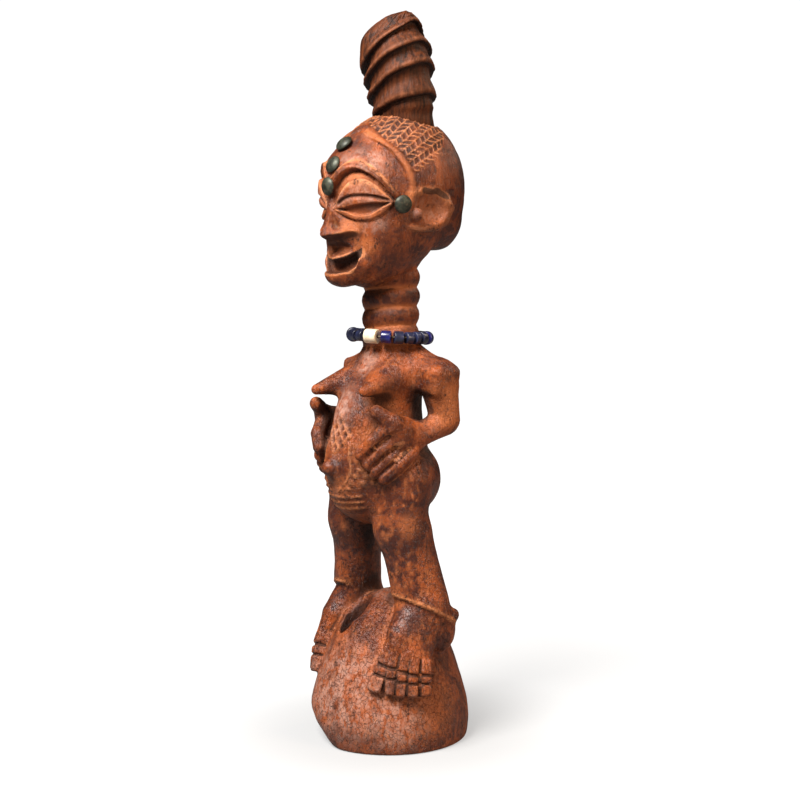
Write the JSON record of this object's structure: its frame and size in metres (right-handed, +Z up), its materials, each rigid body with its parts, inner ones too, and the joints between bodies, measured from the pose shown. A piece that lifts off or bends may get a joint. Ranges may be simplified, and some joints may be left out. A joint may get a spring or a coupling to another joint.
{
  "type": "carved figure",
  "caption": "Standing carved wooden female figure on a domed base, hands on the belly, with a ribbed horn on the crown, metal tacks on the face and a string of glass beads.",
  "frame": {"origin": "middle of the base's flat underside", "axes": "+Z up the figure, the figure faces -Y and its own left side is +X"},
  "size_m": [0.1165, 0.1127, 0.488],
  "materials": {
    "wood": "satin",
    "horn": "satin",
    "tack_metal": "satin",
    "blue_glass": "gloss",
    "slate_glass": "satin",
    "cream_glass": "satin",
    "string_fibre": "matte"
  },
  "bodies": {
    "root": {"carved_figure": "wood", "crown_horn": "horn", "forehead_tack_top": "tack_metal", "forehead_tack_middle": "tack_metal", "forehead_tack_low": "tack_metal", "temple_tack_left": "tack_metal", "temple_tack_right": "tack_metal", "bead_01_large_blue": "slate_glass", "bead_02_blue_tube": "slate_glass", "bead_03_small_tube": "slate_glass", "bead_04_cream_tube": "cream_glass", "bead_05_cobalt": "blue_glass", "bead_06_slate_tube": "slate_glass", "bead_07_small_tube": "slate_glass", "bead_08_grey_ring": "slate_glass", "bead_09_slate_tube": "slate_glass", "bead_10_cobalt_ball": "blue_glass", "bead_11_white_ring": "cream_glass", "bead_12_slate_tube": "slate_glass", "bead_13_cobalt": "blue_glass", "bead_14_blue_tube": "slate_glass", "bead_15_cobalt": "blue_glass", "bead_16_slate_tube": "slate_glass", "bead_17_cream_tube": "cream_glass", "bead_18_blue_tube": "slate_glass", "bead_19_cobalt": "blue_glass", "necklace_string": "string_fibre"}
  },
  "joints": []
}
